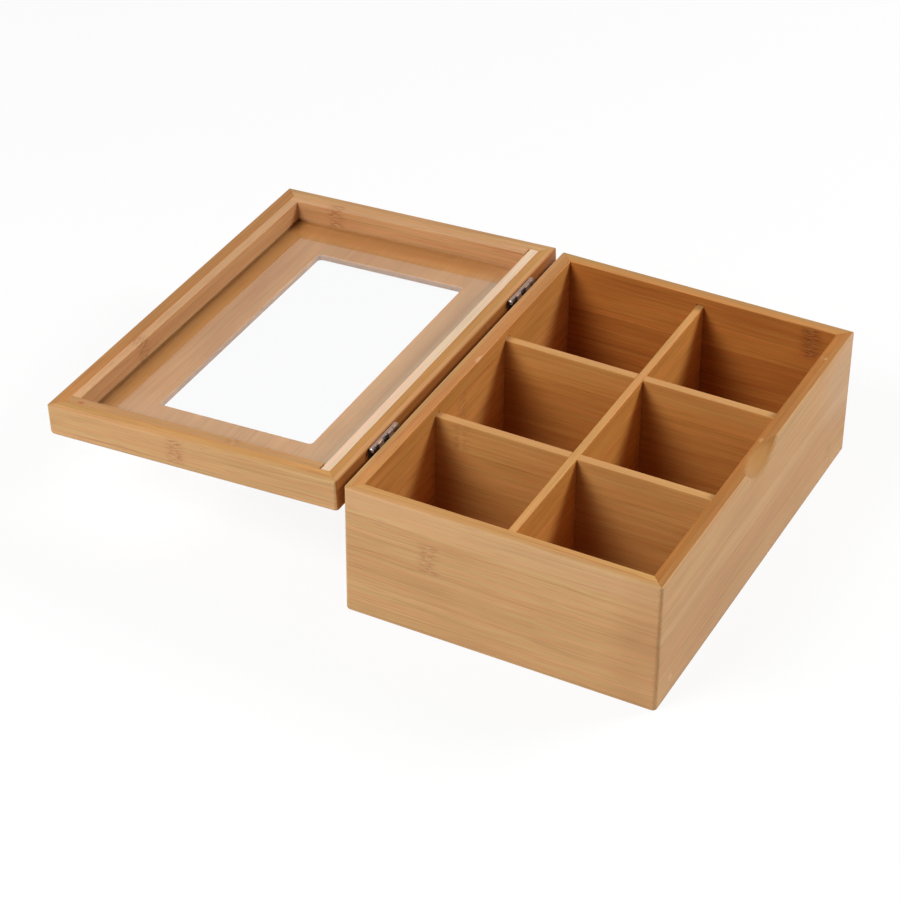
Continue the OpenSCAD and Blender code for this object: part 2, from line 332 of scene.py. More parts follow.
class Grain:
    """Where a point of a board lies in its bamboo, in millimetres: along the grain, across the
    strips from the board's edge, and inwards from its face. tone is 0 in deep cane and 1 in pale
    cane."""

    def __init__(self, g, place, strip, first, ply, seed):
        self.place = place
        self.run, self.width, self.depth = g.separate(place)
        self.inner = g.math("GREATER_THAN", self.depth, ply)
        shift = g.math("MULTIPLY_ADD", self.inner, 0.41 * strip, strip - first)
        self.strips = g.math("DIVIDE", g.math("ADD", self.width, shift), strip)
        self.lot = g.random(g.combine(g.math("FLOOR", self.strips), self.inner, seed + 0.5))

        wave = g.noise(g.vector("MULTIPLY", place, WAVES), 1.0, 0.5)
        wavy = g.math("MULTIPLY_ADD", wave, 3.0, self.width)
        own = g.combine(g.math("MULTIPLY_ADD", self.lot, 700.0, self.run), wavy, self.depth)
        self.fine = g.noise(g.vector("MULTIPLY", own, FINE_FIBRES), 3.0, 0.62)
        broad = g.noise(g.vector("MULTIPLY", own, BROAD_FIBRES), 2.0, 0.5)
        cloud = g.noise(g.vector("MULTIPLY", place, CLOUDS), 1.0, 0.5)
        dash = g.noise(g.vector("MULTIPLY", own, DASHES), 2.0, 0.5)
        streak = g.noise(g.vector("MULTIPLY", own, STREAKS), 2.0, 0.5)
        self.dashes = g.smooth(dash, 0.58, 0.70)
        self.streaks = g.smooth(streak, 0.56, 0.72)
        tone = 0.5
        for part, weight in ((self.fine, 1.3), (broad, 1.2), (cloud, 0.9), (self.lot, 0.36)):
            swing = g.math("SUBTRACT", part, 0.5)
            tone = g.math("MULTIPLY_ADD", swing, weight, tone)
        self.tone = g.math("ADD", tone, 0.0, clamp=True)
        self.warm = g.noise(g.vector("MULTIPLY", own, WARMTH), 2.0, 0.5)

    def between(self, g, value, low, high, soft=0.6):
        """1 where a value is between low and high and 0 elsewhere, with soft ends."""
        rise = g.smooth(value, low - soft, low + soft)
        return g.math("MULTIPLY", rise, g.smooth(value, high - soft, high + soft, 1.0, 0.0))

    def on_layer(self, g, layer):
        return self.inner if layer == INNER else g.math("SUBTRACT", 1.0, self.inner)


def cane_joint(g, grain, colour, joint):
    """A joint of the cane across a strip: a faint pale line in a blotch of short dark dashes."""
    run, low, high, layer, strength = joint
    wander = 2.6
    drift = g.noise(g.vector("MULTIPLY", grain.place, JOINT_DRIFT), 1.0, 0.5)
    off = g.math("SUBTRACT", g.math("MULTIPLY_ADD", drift, wander, grain.run), run + wander / 2)
    off = g.math("ABSOLUTE", off)
    speck = g.noise(g.vector("MULTIPLY", grain.place, JOINT_SPECKS), 2.0, 0.55)
    dark = g.math("MULTIPLY", g.smooth(speck, 0.40, 0.66), g.smooth(off, 0.8, 7.5, 1.0, 0.0))
    within = g.math("MULTIPLY", grain.between(g, grain.width, low, high), grain.on_layer(g, layer))
    pale = g.math("MULTIPLY", within, g.smooth(off, 0.5, 2.2, 0.10, 0.0))
    colour = g.mix(pale, colour, JOINT_PALE)
    dark = g.math("MULTIPLY", within, dark)
    return g.mix(g.math("MULTIPLY", dark, strength), colour, JOINT_DARK)


def soft_spot(g, grain, colour, mark):
    """A soft oval spot of another tone. place and size are along, across and inwards."""
    place, size, tone, strength = mark
    spot = g.vector("DIVIDE", g.vector("SUBTRACT", grain.place, place), size)
    distance = g.add("ShaderNodeVectorMath", operation="LENGTH")
    g.feed(distance.inputs[0], spot)
    return g.mix(g.smooth(distance.outputs["Value"], 0.4, 1.0, strength, 0.0), colour, tone)


def bamboo(name, origin, across, inwards, turn=STILL, strip=18.0, first=17.0, ply=3.75,
           thick=7.5, roll=1.1, face=FACE, inside=INSIDE, edges=CROSS_EDGE, fibres=1.0, joints=(),
           spots=(), seed=0):
    """Laminated bamboo under clear lacquer. The pattern starts at origin, on the board's outer
    edge. first is the width of the first strip, ply the thickness of the outer layer, thick that
    of the board, roll how far its rounded edge reaches inwards, and fibres how dark its dark fibres
    are."""
    g = Graph(name)
    along = across.cross(inwards)
    to_board = (turn.to_3x3() @ Matrix((along, across, inwards)).transposed()).transposed()
    mapping = g.add("ShaderNodeMapping")
    mapping.inputs["Scale"].default_value = (1000, 1000, 1000)
    mapping.inputs["Rotation"].default_value = to_board.to_euler("XYZ")
    mapping.inputs["Location"].default_value = -(to_board @ (turn @ origin)) * 1000
    g.feed(mapping.inputs["Vector"], g.object_place())
    grain = Grain(g, mapping.outputs[0], strip, first, ply, seed)

    outer_colour = g.mix(grain.tone, srgb(*face[1]), srgb(*face[0]))
    inner_colour = g.mix(grain.tone, srgb(*inside[1]), srgb(*inside[0]))
    colour = g.mix(g.math("GREATER_THAN", grain.depth, 0.5 * thick), outer_colour, inner_colour)
    edge_colour = g.mix(grain.inner, srgb(*edges[0]), srgb(*edges[1]))
    edge_shade = g.math("MULTIPLY_ADD", grain.tone, 0.34, 0.83)
    edge_shade = g.combine(edge_shade, edge_shade, edge_shade)
    edge_colour = g.mix(1.0, edge_colour, edge_shade, "MULTIPLY")
    on_edge = g.math(
        "MULTIPLY",
        g.smooth(grain.depth, 0.45 * roll, roll),
        g.smooth(grain.depth, thick - 0.35, thick - 0.15, 1.0, 0.0),
    )
    colour = g.mix(on_edge, colour, edge_colour)

    for fibre, strength in ((grain.dashes, DASH_STRENGTH), (grain.streaks, STREAK_STRENGTH)):
        colour = g.mix(g.math("MULTIPLY", fibre, strength * fibres), colour, FIBRE_AND_SHADE_DARK)
    warmth = g.mix(g.smooth(grain.warm, 0.35, 0.65), YELLOWER, REDDER)
    colour = g.mix(1.0, colour, warmth, "MULTIPLY")
    from_line = g.math("ABSOLUTE", g.math("SUBTRACT", g.math("FRACT", grain.strips), 0.5))
    glue = g.smooth(from_line, 0.5 - 0.20 / strip, 0.5 - 0.05 / strip)
    from_ply = g.math("ABSOLUTE", g.math("SUBTRACT", grain.depth, ply))
    lines = g.math("MAXIMUM", glue, g.smooth(from_ply, 0.06, 0.20, 1.0, 0.0))
    colour = g.mix(g.math("MULTIPLY", lines, GLUE_STRENGTH), colour, GLUE_DARK)
    for joint in joints:
        colour = cane_joint(g, grain, colour, joint)
    for mark in spots:
        colour = soft_spot(g, grain, colour, mark)

    g.feed(g.shader.inputs["Base Color"], colour)
    g.feed(g.shader.inputs["Specular IOR Level"], 0.2)
    g.feed(g.shader.inputs["Roughness"], g.math("MULTIPLY_ADD", grain.fine, 0.22, 0.38))
    relief = g.math("MULTIPLY_ADD", grain.dashes, -0.5, grain.fine)
    g.bump(g.math("MULTIPLY_ADD", lines, -1.2, relief), WOOD_RELIEF)
    return g.material


def antique_metal(name, base, worn, rough):
    """Plated metal, rubbed brighter in places, with fine brushing along the pin."""
    g = Graph(name)
    place = g.vector("MULTIPLY", g.object_place(), (1000, 1000, 1000))
    patch = g.noise(g.vector("MULTIPLY", place, (0.45, 0.3, 0.45)), 3.0, 0.6)
    brush = g.noise(g.vector("MULTIPLY", place, (9, 0.8, 9)), 2.0, 0.5)
    wear_and_highlight = g.smooth(g.math("MULTIPLY_ADD", brush, 0.35, patch), 0.58, 0.82)
    g.feed(g.shader.inputs["Base Color"], g.mix(wear_and_highlight, base, worn))
    g.feed(g.shader.inputs["Metallic"], 1.0)
    g.feed(g.shader.inputs["Roughness"], g.math("MULTIPLY_ADD", patch, -0.2, rough))
    g.bump(g.math("MULTIPLY_ADD", brush, 0.5, patch), METAL_RELIEF)
    return g.material


# Tones of the screws and pins: plain and rubbed bright
SCREW_TONES = (srgb(122, 106, 96), srgb(176, 158, 144))
PIN_TONES = (srgb(168, 158, 152), srgb(214, 208, 204))
# Tones of a leaf: bright, for the painted highlight and rubbed patches, plain elsewhere, and dark, for the painted
# shade on part of the barrel
BOX_LEAF_TONES = (srgb(166, 138, 124), srgb(102, 82, 70), srgb(102, 82, 70))
LID_LEAF_TONES = (srgb(166, 138, 124), srgb(90, 70, 58), srgb(18, 11, 8))
# The barrel has a painted highlight along this direction from the pin, its lit top, and along
# the opposite one. It has painted shade from its left end to this far right of its middle, and
# reaches this far from the pin's middle, both in millimetres.
HIGHLIGHT_WAY = (-0.34, 0.94)
PAINTED_SHADE_END = 2.4
BARREL_OUT = 1.75


def barrel_metal(name, place, tones):
    """Antique bronze of a hinge leaf, with a painted highlight along two lines of the barrel, painted shade on its
    left part, and rubbed patches.
    """
    bright, plain, dark = tones
    g = Graph(name)
    mapping = g.add("ShaderNodeMapping")
    mapping.inputs["Scale"].default_value = (1000, 1000, 1000)
    mapping.inputs["Location"].default_value = -place.to_translation() * 1000
    g.feed(mapping.inputs["Vector"], g.object_place())
    x, y, z = g.separate(mapping.outputs[0])
    patch = g.noise(g.vector("MULTIPLY", mapping.outputs[0], (0.6, 0.5, 0.6)), 3.0, 0.6)
    brush = g.noise(g.vector("MULTIPLY", mapping.outputs[0], (9, 0.8, 9)), 2.0, 0.5)
    out = g.math("SQRT", g.math("ADD", g.math("MULTIPLY", x, x), g.math("MULTIPLY", z, z)))
    # A painted highlight along the barrel's lit top and along the opposite side
    lean = g.math("MULTIPLY_ADD", x, HIGHLIGHT_WAY[0], g.math("MULTIPLY", z, HIGHLIGHT_WAY[1]))
    lean = g.math("DIVIDE", lean, out)
    lean = g.math("ADD", lean, g.math("MULTIPLY_ADD", patch, 0.5, -0.25))
    on_barrel = g.smooth(out, BARREL_OUT, BARREL_OUT + 0.25, 1.0, 0.0)
    wear_and_highlight = g.math("MULTIPLY", g.smooth(g.math("ABSOLUTE", lean), 0.52, 0.88), on_barrel)
    worn = g.smooth(g.math("MULTIPLY_ADD", brush, 0.35, patch), 0.72, 0.95, 0.0, 0.5)
    wear_and_highlight = g.math("MAXIMUM", wear_and_highlight, worn)
    # Painted shade from the barrel's left end to a little past its middle
    shaded = g.math("MULTIPLY", g.smooth(y, PAINTED_SHADE_END, PAINTED_SHADE_END + 0.4, 1.0, 0.0), on_barrel)
    colour = g.mix(wear_and_highlight, g.mix(shaded, plain, dark), bright)
    g.feed(g.shader.inputs["Base Color"], colour)
    g.feed(g.shader.inputs["Metallic"], 0.85)
    g.feed(g.shader.inputs["Roughness"], g.math("MULTIPLY_ADD", patch, -0.2, 0.55))
    g.bump(g.math("MULTIPLY_ADD", brush, 0.5, patch), METAL_RELIEF)
    return g.material


def clear_pane():
    """Clear pane with the faintest smears. Light from the lamps passes through it."""
    g = Graph("window_pane_glass")
    place = g.vector("MULTIPLY", g.object_place(), (1000, 1000, 1000))
    smear = g.noise(g.vector("MULTIPLY", place, (0.03, 0.05, 0.03)), 3.0, 0.6)
    g.feed(g.shader.inputs["Roughness"], g.smooth(smear, 0.45, 0.75, 0.0, 0.03))
    g.feed(g.shader.inputs["Base Color"], g.mix(smear, srgb(255, 255, 255), srgb(254, 255, 255)))
    g.feed(g.shader.inputs["Transmission Weight"], 1.0)
    g.feed(g.shader.inputs["IOR"], 1.7)
    path = g.add("ShaderNodeLightPath")
    through = g.add("ShaderNodeBsdfTransparent")
    g.feed(through.inputs["Color"], srgb(248, 249, 248))
    both = g.add("ShaderNodeMixShader")
    g.feed(both.inputs["Fac"], path.outputs["Is Shadow Ray"])
    g.feed(both.inputs[1], g.shader.outputs[0])
    g.feed(both.inputs[2], through.outputs[0])
    g.feed(g.output.inputs["Surface"], both.outputs[0])
    return g.material


def pick(piece):
    """Makes a piece the only one that is selected, and the active one."""
    bpy.ops.object.select_all(action="DESELECT")
    piece.select_set(True)
    bpy.context.view_layer.objects.active = piece


def edit(piece, kind):
    """Opens a piece in edit mode with nothing selected. kind is VERT or EDGE."""
    pick(piece)
    bpy.ops.object.mode_set(mode="EDIT")
    bpy.ops.mesh.select_mode(type=kind)
    bpy.ops.mesh.select_all(action="DESELECT")
    return bmesh.from_edit_mesh(piece.data)


def leave_edit():
    bpy.ops.object.mode_set(mode="OBJECT")


def select_edges(piece, mesh, wanted):
    """Selects the edges whose two ends pass the test."""
    for edge in mesh.edges:
        if wanted(edge.verts[0].co, edge.verts[1].co):
            edge.select_set(True)
    bmesh.update_edit_mesh(piece.data)


def round_edges(piece, wanted, radius, segments=4):
    """Rounds the edges whose two ends pass the test."""
    mesh = edit(piece, "EDGE")
    select_edges(piece, mesh, wanted)
    bpy.ops.mesh.bevel(offset=radius, segments=segments, affect="EDGES")
    leave_edit()


def near(a, b):
    return abs(a - b) < 1e-6


def block(name, low, high):
    """A block of wood between two corners."""
    low, high = Vector(low), Vector(high)
    bpy.ops.object.select_all(action="DESELECT")
    bpy.ops.mesh.primitive_cube_add(size=1, location=(low + high) / 2)
    piece = bpy.context.object
    piece.name = name
    piece.data.name = name
    piece.scale = high - low
    bpy.ops.object.transform_apply(location=True, rotation=True, scale=True)
    return piece


def copy_of(piece, name):
    twin = piece.copy()
    twin.data = piece.data.copy()
    twin.name = name
    twin.data.name = name
    bpy.context.collection.objects.link(twin)
    return twin


def shape_with(piece, operation, *tools):
    """Shapes a piece with each tool in turn: takes it out, joins it on, or keeps what it covers.
    The tools stay for other pieces."""
    for tool in tools:
        step = piece.modifiers.new("cut", "BOOLEAN")
        step.operation = operation
        step.solver = "EXACT"
        step.object = tool
        pick(piece)
        bpy.ops.object.modifier_apply(modifier=step.name)


def cut_away(piece, *tools):
    shape_with(piece, "DIFFERENCE", *tools)


def join_on(piece, *tools):
    shape_with(piece, "UNION", *tools)


def trim_to(piece, outline):
    shape_with(piece, "INTERSECT", outline)


def put_away(*tools):
    for tool in tools:
        bpy.data.objects.remove(tool)


def placed(piece, matrix):
    """Moves a piece and writes its new place into its mesh."""
    piece.matrix_world = matrix
    pick(piece)
    bpy.ops.object.transform_apply(location=True, rotation=True, scale=True)
    return piece


def smooth_shaded(piece, angle=32):
    """Shades the rounded edges smooth and keeps the flat faces flat."""
    pick(piece)
    bpy.ops.object.shade_smooth_by_angle(angle=math.radians(angle))
    step = piece.modifiers.new("flat faces", "WEIGHTED_NORMAL")
    step.keep_sharp = True
    bpy.ops.object.modifier_apply(modifier=step.name)


def open_up(piece):
    """Turns a piece of the closed lid about the hinge pins to where the lid lies open."""
    return placed(piece, LID_TURN)


def finish(piece, node, material):
    """Gives a piece its finish, and puts it in the place of a node of the frame."""
    piece.data.materials.clear()
    piece.data.materials.append(material)
    smooth_shaded(piece)
    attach(piece, "lid" if node in LID_NODES else "box")
    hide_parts(node)


def outline_tool(low, high, rounded, radius):
    """Block the size of the box from above, with its upright edges rounded, and then the edges all
    the way round at the height rounded."""
    tool = block("outline_tool", (-WIDTH / 2, -LENGTH / 2, low), (WIDTH / 2, LENGTH / 2, high))
    round_edges(tool, lambda a, b: near(a.x, b.x) and near(a.y, b.y), CORNER_ROUND, 8)
    round_edges(tool, lambda a, b: near(a.z, rounded) and near(b.z, rounded), radius, 6)
    return tool


def board(name, outwards, low, high, rim):
    """One wall or rail: a block with its long edges rounded, cut off along its two mitres. low and
    high are heights, and rim is the one of them where the box opens. At the hinges the rim is only
    sanded."""
    sideways = Z.cross(outwards)
    endwise = near(abs(outwards.y), 1)
    run = (WIDTH if endwise else LENGTH) / 2
    out = (LENGTH if endwise else WIDTH) / 2
    inside = out - WALL
    ends = (inside * outwards - run * sideways, out * outwards + run * sideways)
    piece = block(
        name,
        (min(p.x for p in ends), min(p.y for p in ends), low),
        (max(p.x for p in ends), max(p.y for p in ends), high),
    )
    rim_round = SANDED if near(outwards.x, -1) else RIM_ROUND
    for z, depth, radius in ((rim, out, rim_round), (low, inside, SANDED), (high, inside, SANDED)):
        round_edges(
            piece,
            lambda a, b: all(near(p.z, z) and near(p.dot(outwards), depth) for p in (a, b)),
            radius,
            segments=3 if radius == SANDED else 6,
        )
    for side in (-1, 1):
        away = (side * sideways - outwards).normalized()
        corner = out * outwards + side * run * sideways - JOINT_LINE * away
        edit(piece, "EDGE")
        bpy.ops.mesh.select_all(action="SELECT")
        bpy.ops.mesh.bisect(plane_co=corner, plane_no=away, use_fill=True, clear_outer=True)
        leave_edit()
    return piece


def cross_housing_tools():
    top = DIVIDER_TOP + HOUSING_OVER
    y = CROSS_T / 2 + LAP_PLAY
    return [
        block(
            "housing_tool",
            (CROSS_LOW.x, side * CROSS_Y - y, -MM),
            (CROSS_HIGH.x, side * CROSS_Y + y, top),
        )
        for side in (-1, 1)
    ]


def long_housing_tool():
    top = DIVIDER_TOP + HOUSING_OVER
    x = LONG_T / 2 + LAP_PLAY
    return block("housing_tool", (-x, LONG_LOW.y, -MM), (x, LONG_HIGH.y, top))


def scoop_tool():
    """Leaning cylinder that takes the finger scoop out of the front wall."""
    lean = math.atan(SCOOP_DEPTH / SCOOP_DROP)
    foot = Matrix.Translation((WIDTH / 2, SCOOP_Y, HEIGHT - SCOOP_DROP))
    turn = foot @ Matrix.Rotation(-lean, 4, "Y")
    bpy.ops.object.select_all(action="DESELECT")
    bpy.ops.mesh.primitive_cylinder_add(vertices=360, radius=SCOOP_RADIUS, depth=3 * HEIGHT)
    return placed(bpy.context.object, turn @ Matrix.Translation((SCOOP_RADIUS, 0, 0)))


SIDES = {"front": X, "back": -X, "left": -Y, "right": Y}
WALL_NODES = {
    "front": "front_wall",
    "back": "back_wall",
    "left": "left_end_wall",
    "right": "right_end_wall",
}

# Joints of the cane on each board, in millimetres: place along the grain, from and to across it,
# layer and strength. Along the grain is counted from the middle of a board, and across it from its
# outer edge.
WALL_JOINTS = {
    "front": (
        (0.5, 3.5, 11.0, INNER, 0.5),
        (94.0, 55.0, 71.0, OUTER, 0.3),
        (89.0, -1.0, 2.0, INNER, 0.3),
    ),
    "back": ((12.0, 10.0, 31.0, INNER, 0.45), (-58.0, 18.0, 35.0, OUTER, 0.5)),
    "left": ((-37.0, 17.8, 35.0, OUTER, 0.55),),
    "right": ((-62.0, 1.0, 18.0, INNER, 1.0), (31.0, 35.5, 53.0, OUTER, 0.5)),
}
RAIL_JOINTS = {
    "front": ((-46.0, 1.0, 14.0, OUTER, 0.4),),
    "back": ((38.0, 1.0, 14.0, OUTER, 0.4),),
    "left": ((-7.9, 0.5, 14.0, OUTER, 0.6),),
    "right": ((20.0, 1.0, 14.0, OUTER, 0.4),),
}
STRIP_JOINTS = {
    "front": ((50.2, -1.0, 12.0, OUTER, 0.6),),
    "right": ((46.0, -1.0, 12.0, OUTER, 0.6),),
    "left": ((20.0, -1.0, 12.0, OUTER, 0.4),),
}
CROSS_JOINTS = {"left": ((-61.0, 0.5, 15.0, OUTER, 0.5),)}
BASE_JOINTS = ((60.0, 17.0, 35.0, OUTER, 0.5), (-30.0, 71.0, 89.0, OUTER, 0.5))

# Soft spots of another tone, in millimetres: place and size, each along the grain, across it and
# inwards, then tone and strength. Long ones are bands.
WALL_STAINS = {
    "front": (
        ((8.7, 0.0, 5.7), (2.6, 1.5, 1.4), JOINT_PALE, 0.25),
        ((89.3, 0.0, 3.9), (1.3, 1.5, 0.9), JOINT_PALE, 0.35),
        ((-104.2, 63.0, 0.0), (3.0, 2.0, 1.0), JOINT_PALE, 0.4),
        ((-3.0, 5.5, 2.9), (22.0, 11.0, 5.0), SCOOP_TONE, 0.7),
        ((0.0, 32.0, 0.0), (240.0, 6.0, 2.5), PALE_BAND, 0.18),
        ((0.0, 47.0, 0.0), (240.0, 12.0, 2.5), PINK_BAND, 0.12),
        ((20.0, 70.0, 0.0), (240.0, 11.0, 2.5), PALE_BAND, 0.15),
        ((115.0, 22.0, 0.0), (45.0, 36.0, 2.5), GREY_BAND, 0.2),
    ),
    "left": (
        ((0.0, 5.0, 0.0), (240.0, 12.0, 2.5), PALE_BAND, 0.2),
        ((86.0, 48.0, 0.0), (36.0, 70.0, 2.5), BROWN_BAND, 0.22),
    ),
    "back": (((-7.3, 0.0, 6.9), (4.5, 2.0, 1.6), JOINT_PALE, 0.45),),
    "right": (((-62.0, 9.0, 7.5), (9.0, 14.0, 3.0), FIBRE_AND_SHADE_DARK, 0.25),),
}
# On the left rail, a dark band of painted shade along the rounded edge at the top of the lid
RAIL_SHADE_SPOTS = {"left": (((-50.0, 17.0, 0.0), (52.0, 1.6, 3.0), FIBRE_AND_SHADE_DARK, 0.35),)}
STRIP_STAINS = {"left": (((-67.4, 0.0, 1.5), (2.4, 1.5, 1.3), FILLER, 0.75),)}
# The dividers are paler along the top, as painted light, and darker further down, as painted shade
CROSS_LIGHT_AND_SHADE = (
    ((0.0, 0.0, 0.0), (900.0, 18.0, 900.0), PAINTED_LIGHT_TOP, 0.18),
    ((0.0, 42.0, 0.0), (900.0, 32.0, 900.0), FIBRE_AND_SHADE_DARK, 0.16),
)
# The panel shows end grain at both ends of its window, deepened as painted shade
PANEL_SPOTS = (
    ((-81.4, 30.0, 2.0), (1.8, 400.0, 2.0), END_GRAIN_AND_SHADE, 0.5),
    ((81.4, 30.0, 2.0), (1.8, 400.0, 2.0), END_GRAIN_AND_SHADE, 0.5),
    # Pale veils of painted reflection in the pane, the strongest beside the back strip
    ((100.0, 75.0, 0.0), (40.0, 110.0, 3.0), PAINTED_REFLECTION, 0.1),
    ((0.0, 8.0, 0.0), (300.0, 30.0, 3.0), PAINTED_REFLECTION, 0.17),
    ((0.0, 13.0, 0.0), (300.0, 5.0, 3.0), PAINTED_REFLECTION, 0.35),
    # A deeper golden band beside the front strip, painted where the pane reflects the strip
    ((0.0, 146.0, 0.0), (400.0, 17.0, 3.0), GOLDEN, 0.5),
    # A lighter, warmer band of painted light along the right strip
    ((-108.0, 75.0, 0.0), (18.0, 400.0, 3.0), PAINTED_WARM_LIGHT, 0.6),
)


def rim_origin(outwards, z):
    """The middle of a board's outer edge at the height z, where its pattern starts."""
    out = WIDTH / 2 if near(abs(outwards.x), 1) else LENGTH / 2
    return out * outwards + Vector((0, 0, z))


def walls():
    outline = outline_tool(0, HEIGHT + MM, 0, FOOT_ROUND)
    seat = block(
        "seat_tool",
        BASE_LOW - Vector((JOINT_LINE, JOINT_LINE, MM)),
        BASE_HIGH + Vector((JOINT_LINE, JOINT_LINE, 0)),
    )
    across_tools = cross_housing_tools()
    long_tool = long_housing_tool()
    scoop = scoop_tool()
    tools = {
        "front": [*across_tools, seat, scoop],
        "back": [*across_tools, seat],
        "left": [long_tool, seat],
        "right": [long_tool, seat],
    }
    for number, (side, outwards) in enumerate(SIDES.items()):
        node = WALL_NODES[side]
        piece = board(node + "_board", outwards, 0, HEIGHT, HEIGHT)
        cut_away(piece, *tools[side])
        trim_to(piece, outline)
        material = bamboo(
            node + "_bamboo",
            rim_origin(outwards, HEIGHT),
            -Z,
            -outwards,
            ply=2.9 if side == "back" else 3.75,
            face=WALL_FACES.get(side, FACE),
            inside=WALL_INSIDES_LIGHT_AND_SHADE.get(side, INSIDE),
            edges=WALL_EDGES[side],
            joints=WALL_JOINTS[side],
            spots=WALL_STAINS.get(side, ()),
            seed=number,
        )
        finish(piece, node, material)
    put_away(outline, seat, long_tool, scoop, *across_tools)


def rails():
    top = LID_Z + LID_HEIGHT
    outline = outline_tool(LID_Z - MM, top, top, LID_ROUND)
    for number, (side, outwards) in enumerate(SIDES.items()):
        node = f"lid_{side}_rail"
        piece = board(node + "_board", outwards, LID_Z, top, LID_Z)
        trim_to(piece, outline)
        open_up(piece)
        material = bamboo(
            node + "_bamboo",
            rim_origin(outwards, LID_Z),
            Z,
            -outwards,
            turn=LID_TURN,
            strip=15.0,
            first=14.0,
            ply=3.4,
            face=RAIL_PAINTED_SHADE_FACES.get(side, FACE),
            edges=RAIL_EDGES[side],
            joints=RAIL_JOINTS[side],
            spots=RAIL_SHADE_SPOTS.get(side, ()),
            seed=10 + number,
        )
        finish(piece, node, material)
    put_away(outline)


def top_edges(top):
    """Test for the two long top edges of a divider."""
    return lambda a, b: near(a.z, top) and near(b.z, top) and (a - b).length > 10 * MM


def dividers():
    notches = [
        block(
            "notch_tool",
            (-LONG_T, side * CROSS_Y - CROSS_T / 2 - LAP_PLAY, 0),
            (LONG_T, side * CROSS_Y + CROSS_T / 2 + LAP_PLAY, LAP_Z),
        )
        for side in (-1, 1)
    ]
    piece = block("long_divider_board", LONG_LOW, LONG_HIGH)
    round_edges(piece, top_edges(DIVIDER_TOP), SANDED, 3)
    cut_away(piece, *notches)
    origin = Vector((LONG_LOW.x, 0, DIVIDER_TOP))
    material = bamboo(
        "long_divider_bamboo",
        origin,
        -Z,
        X,
        ply=ONE_LAYER,
        thick=LONG_T / MM,
        roll=0.4,
        face=LONG_FACE_PAINTED_LIGHT,
        inside=LONG_FACE_PAINTED_LIGHT,
        edges=LONG_EDGE,
        seed=20,
    )
    finish(piece, "long_divider", material)
    put_away(*notches)

    notch = block(
        "notch_tool",
        (-LONG_T / 2 - LAP_PLAY, -LENGTH, LAP_Z),
        (LONG_T / 2 + LAP_PLAY, LENGTH, HEIGHT),
    )
    for number, side in enumerate(("left", "right")):
        node = side + "_cross_divider"
        low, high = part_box(node)
        piece = block(node + "_board", low, high)
        round_edges(piece, top_edges(DIVIDER_TOP), SANDED, 3)
        cut_away(piece, notch)
        origin = Vector((0, low.y, DIVIDER_TOP))
        material = bamboo(
            node + "_bamboo",
            origin,
            -Z,
            Y,
            ply=ONE_LAYER,
            thick=CROSS_T / MM,
            roll=0.4,
            face=CROSS_FACES[side],
            inside=CROSS_FACES[side],
            edges=CROSS_EDGE,
            joints=CROSS_JOINTS.get(side, ()),
            spots=CROSS_LIGHT_AND_SHADE,
            seed=21 + number,
        )
        finish(piece, node, material)
    put_away(notch)


def base():
    piece = block("base_panel_board", BASE_LOW, BASE_HIGH)
    round_edges(piece, lambda a, b: near(a.z, 0) and near(b.z, 0), JOINT_LINE, 1)
    material = bamboo(
        "base_panel_bamboo",
        BASE_HIGH,
        -X,
        -Z,
        ply=ONE_LAYER,
        thick=(BASE_HIGH.z - BASE_LOW.z) / MM,
        face=INSIDE,
        inside=FACE,
        joints=BASE_JOINTS,
        seed=30,
    )
    finish(piece, "base_panel", material)


def lid_panel():
    low = LID_Z + STRIP_H + PANE_T
    piece = block(
        "lid_panel_board",
        (-INNER_WIDTH / 2, -INNER_LENGTH / 2, low),
        (INNER_WIDTH / 2, INNER_LENGTH / 2, low + PANEL_T),
    )
    window = block(
        "window_tool",
        (*WINDOW_LOW, low - MM),
        (*WINDOW_HIGH, low + PANEL_T + MM),
    )
    round_edges(window, lambda a, b: near(a.x, b.x) and near(a.y, b.y), WINDOW_ROUND, 8)
    cut_away(piece, window)
    put_away(window)

    def window_edge(z):
        """Test for the edges round the window at a height."""
        return lambda a, b: all(
            near(p.z, z) and abs(p.x) < INNER_WIDTH / 2 - MM and abs(p.y) < INNER_LENGTH / 2 - MM
            for p in (a, b)
        )

    round_edges(piece, window_edge(low + PANEL_T), WINDOW_ROLL, 5)
    round_edges(piece, window_edge(low), SANDED / 2, 2)
    open_up(piece)
    origin = Vector((-INNER_WIDTH / 2, 0, low))
    material = bamboo(
        "lid_panel_bamboo",
        origin,
        X,
        Z,
        turn=LID_TURN,
        strip=19,
        first=12,
        ply=ONE_LAYER,
        thick=PANEL_T / MM,
        roll=0.4,
        face=PANEL_FACE,
        inside=FACE,
        edges=PANEL_EDGE,
        spots=PANEL_SPOTS,
        seed=31,
    )
    finish(piece, "lid_panel", material)


def abs_of(v):
    return Vector((abs(v.x), abs(v.y), abs(v.z)))


def strip(name, low, high, inwards):
    """Strip that holds the pane, with a small rebate towards the pane along its inner side."""
    piece = block(name, low, high)
    axis = abs_of(inwards)
    inner_side = (high if inwards.x + inwards.y > 0 else low).dot(axis)
    rebate_low = Vector(low)
    rebate_high = Vector(high)
    rebate_low.z = high.z - STRIP_REBATE_H
    rebate_high.z = high.z + MM
    for i in (0, 1):
        if near(axis[i], 1):
            rebate_low[i] = inner_side - STRIP_REBATE_W
            rebate_high[i] = inner_side + STRIP_REBATE_W
        else:
            rebate_low[i] -= MM
            rebate_high[i] += MM
    tool = block("rebate_tool", rebate_low, rebate_high)
    cut_away(piece, tool)
    put_away(tool)
    round_edges(
        piece,
        lambda a, b: all(near(p.z, low.z) and near(p.dot(axis), inner_side) for p in (a, b)),
        SANDED,
        3,
    )
    return open_up(piece)


